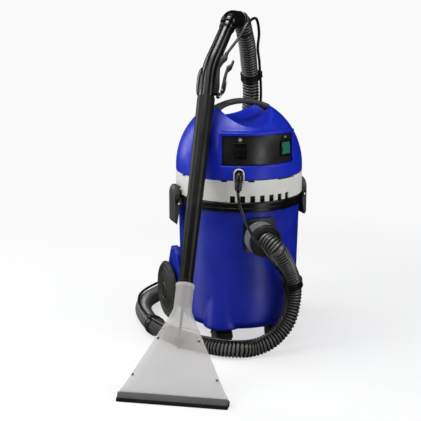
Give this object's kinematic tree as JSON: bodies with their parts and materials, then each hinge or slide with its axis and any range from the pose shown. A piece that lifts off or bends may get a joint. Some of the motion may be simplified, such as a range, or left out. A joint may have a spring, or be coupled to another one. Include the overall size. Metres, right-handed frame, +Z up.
{
  "type": "spot extractor",
  "caption": "Wheeled upright spray extraction cleaner with a lift-off motor head on a round tank, suction hose, and a spray wand with a wide floor nozzle.",
  "frame": {"origin": "centre of the tank's flat underside", "axes": "+Z up, -Y to the front of the machine where the control panel is, +X to the right seen from the front"},
  "size_m": [0.6732, 0.8991, 0.9429],
  "materials": {
    "blue_plastic": "satin moulded, slightly glossy",
    "light_grey_plastic": "fine moulded texture",
    "black_plastic": "satin moulded",
    "hose_plastic": "ribbed, satin",
    "tube_rubber": "smooth, slight sheen",
    "grey_plastic": "moulded, fine texture",
    "seal_rubber": "matt",
    "tyre_rubber": "matt, solid",
    "steel": "turned, plain",
    "clear_plastic": "milky translucent moulding",
    "green_lens": "translucent lit lens",
    "white_plastic": "plain moulded"
  },
  "bodies": {
    "machine": {"tank_shell": "blue_plastic", "rim_ring": "black_plastic", "tank_gasket": "seal_rubber", "inlet_flange": "black_plastic", "inlet_socket": "light_grey_plastic", "inlet_elbow": "black_plastic", "suction_hose": "hose_plastic", "solution_hose": "tube_rubber", "hose_clip_front": "black_plastic", "hose_clip_side": "black_plastic", "hose_clip_top": "black_plastic", "rear_carriage": "blue_plastic", "rear_axle": "steel", "solution_tank": "white_plastic", "solution_cap": "black_plastic", "latch_pin_left": "steel", "latch_pin_right": "steel"},
    "left_latch": {"latch_left": "grey_plastic"},
    "right_latch": {"latch_right": "grey_plastic"},
    "left_caster": {"caster_hood_left": "black_plastic"},
    "right_caster": {"caster_hood_right": "black_plastic"},
    "left_caster_wheels": {"caster_wheels_left": "seal_rubber"},
    "right_caster_wheels": {"caster_wheels_right": "seal_rubber"},
    "left_rear_wheel": {"rear_tyre_left": "tyre_rubber", "rear_disc_left": "grey_plastic"},
    "right_rear_wheel": {"rear_tyre_right": "tyre_rubber", "rear_disc_right": "grey_plastic"},
    "head": {"head_ring": "light_grey_plastic", "head_dome": "blue_plastic", "carry_handle": "grey_plastic", "panel_plate": "black_plastic", "vacuum_switch_frame": "black_plastic", "pump_switch_frame": "black_plastic", "outlet_coupler": "black_plastic", "power_inlet": "black_plastic", "motor_deck": "black_plastic", "fan_housing": "white_plastic", "motor_housing": "steel", "float_cage": "white_plastic", "pump_body": "white_plastic"},
    "vacuum_switch": {"vacuum_rocker": "black_plastic"},
    "pump_switch": {"pump_rocker": "green_lens"},
    "motor": {"motor_rotor": "steel"},
    "float": {"float_ball": "white_plastic"},
    "piston": {"pump_piston": "steel"},
    "wand": {"nozzle_front_shell": "clear_plastic", "nozzle_back_shell": "clear_plastic", "nozzle_lip": "grey_plastic", "lip_rubber": "seal_rubber", "nozzle_screw_1": "steel", "nozzle_screw_2": "steel", "nozzle_screw_3": "steel", "nozzle_screw_4": "steel", "spray_jet": "black_plastic", "wand_tube": "black_plastic", "grip": "black_plastic", "valve_body": "black_plastic", "hose_cuff": "black_plastic", "solution_hose_tail": "tube_rubber"},
    "trigger": {"trigger_lever": "grey_plastic"}
  },
  "joints": [
    {"name": "latch_left_swing", "type": "hinge", "parent": "machine", "child": "left_latch", "pos_m": [-0.193, 0, 0.351], "axis": [0, -1, 0], "range_deg": [0, 10]},
    {"name": "latch_right_swing", "type": "hinge", "parent": "machine", "child": "right_latch", "pos_m": [0.193, 0, 0.351], "axis": [0, 1, 0], "range_deg": [0, 10]},
    {"name": "caster_left_swivel", "type": "hinge", "parent": "machine", "child": "left_caster", "pos_m": [-0.082, -0.094, -0.03], "axis": [0, 0, 1], "continuous": true},
    {"name": "caster_right_swivel", "type": "hinge", "parent": "machine", "child": "right_caster", "pos_m": [0.082, -0.094, -0.03], "axis": [0, 0, 1], "continuous": true},
    {"name": "caster_left_roll", "type": "hinge", "parent": "left_caster", "child": "left_caster_wheels", "pos_m": [-0.082, -0.084, -0.037], "axis": [1, 0, 0], "continuous": true},
    {"name": "caster_right_roll", "type": "hinge", "parent": "right_caster", "child": "right_caster_wheels", "pos_m": [0.082, -0.084, -0.037], "axis": [1, 0, 0], "continuous": true},
    {"name": "rear_left_roll", "type": "hinge", "parent": "machine", "child": "left_rear_wheel", "pos_m": [-0.154, 0.205, 0.026], "axis": [1, 0, 0], "continuous": true},
    {"name": "rear_right_roll", "type": "hinge", "parent": "machine", "child": "right_rear_wheel", "pos_m": [0.154, 0.205, 0.026], "axis": [1, 0, 0], "continuous": true},
    {"name": "head_lift", "type": "slide", "parent": "machine", "child": "head", "axis": [0, 0, 1], "range_m": [0, 0.13]},
    {"name": "vacuum_switch_rock", "type": "hinge", "parent": "head", "child": "vacuum_switch", "pos_m": [-0.05677, -0.15599, 0.512], "axis": [0.9397, -0.342, 0], "range_deg": [0, 14]},
    {"name": "pump_switch_rock", "type": "hinge", "parent": "head", "child": "pump_switch", "pos_m": [0.07665, -0.14724, 0.512], "axis": [0.887, 0.4617, 0], "range_deg": [0, 14]},
    {"name": "motor_spin", "type": "hinge", "parent": "head", "child": "motor", "pos_m": [0, 0, 0.42], "axis": [0, 0, 1], "continuous": true},
    {"name": "float_rise", "type": "slide", "parent": "head", "child": "float", "axis": [0, 0, 1], "range_m": [0, 0.024]},
    {"name": "piston_stroke", "type": "slide", "parent": "head", "child": "piston", "axis": [0, 0, 1], "range_m": [-0.002, 0.002], "stiffness_N_per_m": 2000},
    {"name": "wand_tilt", "type": "hinge", "parent": "machine", "child": "wand", "pos_m": [-0.34897, -0.44926, -0.0616], "axis": [0.8645, -0.5026, 0], "range_deg": [0, 11.5]},
    {"name": "trigger_squeeze", "type": "hinge", "parent": "wand", "child": "trigger", "pos_m": [-0.07026, -0.04765, 0.66232], "axis": [-0.1852, -0.8336, 0.5204], "range_deg": [0, 6], "stiffness_Nm_per_rad": 2, "springref_deg": -2.86}
  ],
  "couplings": [
    {"joint": "wand_tilt", "follows": "head_lift", "rad_per_m": 1.477}
  ]
}
